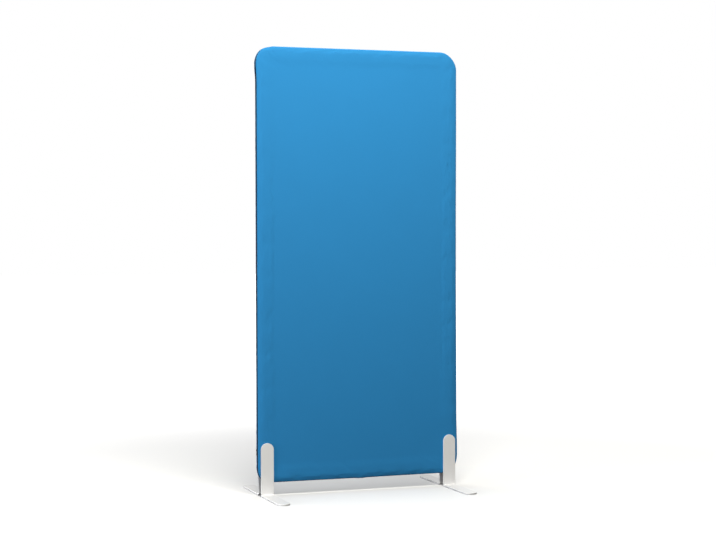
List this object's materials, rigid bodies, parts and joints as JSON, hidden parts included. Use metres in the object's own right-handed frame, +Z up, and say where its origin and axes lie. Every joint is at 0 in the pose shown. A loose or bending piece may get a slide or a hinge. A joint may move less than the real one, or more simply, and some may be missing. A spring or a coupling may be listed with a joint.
{
  "type": "acoustic divider screen",
  "caption": "Free-standing acoustic divider screen: a padded fabric panel with rounded corners and a zip round its edge, clamped in bent flat-steel feet.",
  "frame": {"origin": "on the floor, below the middle of the panel", "axes": "+Z up; +X along the panel, to the right as seen from the front; the front faces -Y"},
  "size_m": [0.8162, 0.5, 1.7],
  "materials": {
    "timber": "planed softwood",
    "infill": "pressed fibre board",
    "padding": "soft wadding",
    "cover": "fine plain weave",
    "zip_tape": "woven tape",
    "zip_teeth": "moulded, satin",
    "zip_metal": "black enamel, satin",
    "powder_coat": "fine white powder coat, satin",
    "steel": "turned, zinc-plated",
    "felt": "pressed felt"
  },
  "bodies": {
    "screen": {"left_stile": "timber", "right_stile": "timber", "top_rail": "timber", "middle_rail": "timber", "bottom_rail": "timber", "top_left_block": "timber", "top_right_block": "timber", "bottom_left_block": "timber", "bottom_right_block": "timber", "frame_dowels": "timber", "upper_core": "infill", "lower_core": "infill", "edge_foam": "padding", "front_wadding": "padding", "rear_wadding": "padding", "front_cover": "cover", "rear_cover": "cover", "front_zip_tape": "zip_tape", "rear_zip_tape": "zip_tape", "front_zip_teeth": "zip_teeth", "rear_zip_teeth": "zip_teeth", "closed_seam_tape": "zip_tape", "zip_start_box": "zip_teeth", "zip_end_stops": "zip_metal", "left_front_foot": "powder_coat", "left_rear_foot": "powder_coat", "right_front_foot": "powder_coat", "right_rear_foot": "powder_coat", "left_foot_sleeves": "steel", "right_foot_sleeves": "steel", "left_foot_screws": "powder_coat", "right_foot_screws": "powder_coat", "foot_pads": "felt"},
    "slider": {"zip_slider": "zip_metal"},
    "puller": {"zip_puller": "zip_metal"}
  },
  "joints": [
    {"name": "slider_travel", "type": "slide", "parent": "screen", "child": "slider", "axis": [0, 0, 1], "range_m": [0, 1.44]},
    {"name": "puller_swing", "type": "hinge", "parent": "slider", "child": "puller", "pos_m": [-0.4082, 0, 0.1755], "axis": [0, 1, 0], "range_deg": [0, 175]}
  ]
}
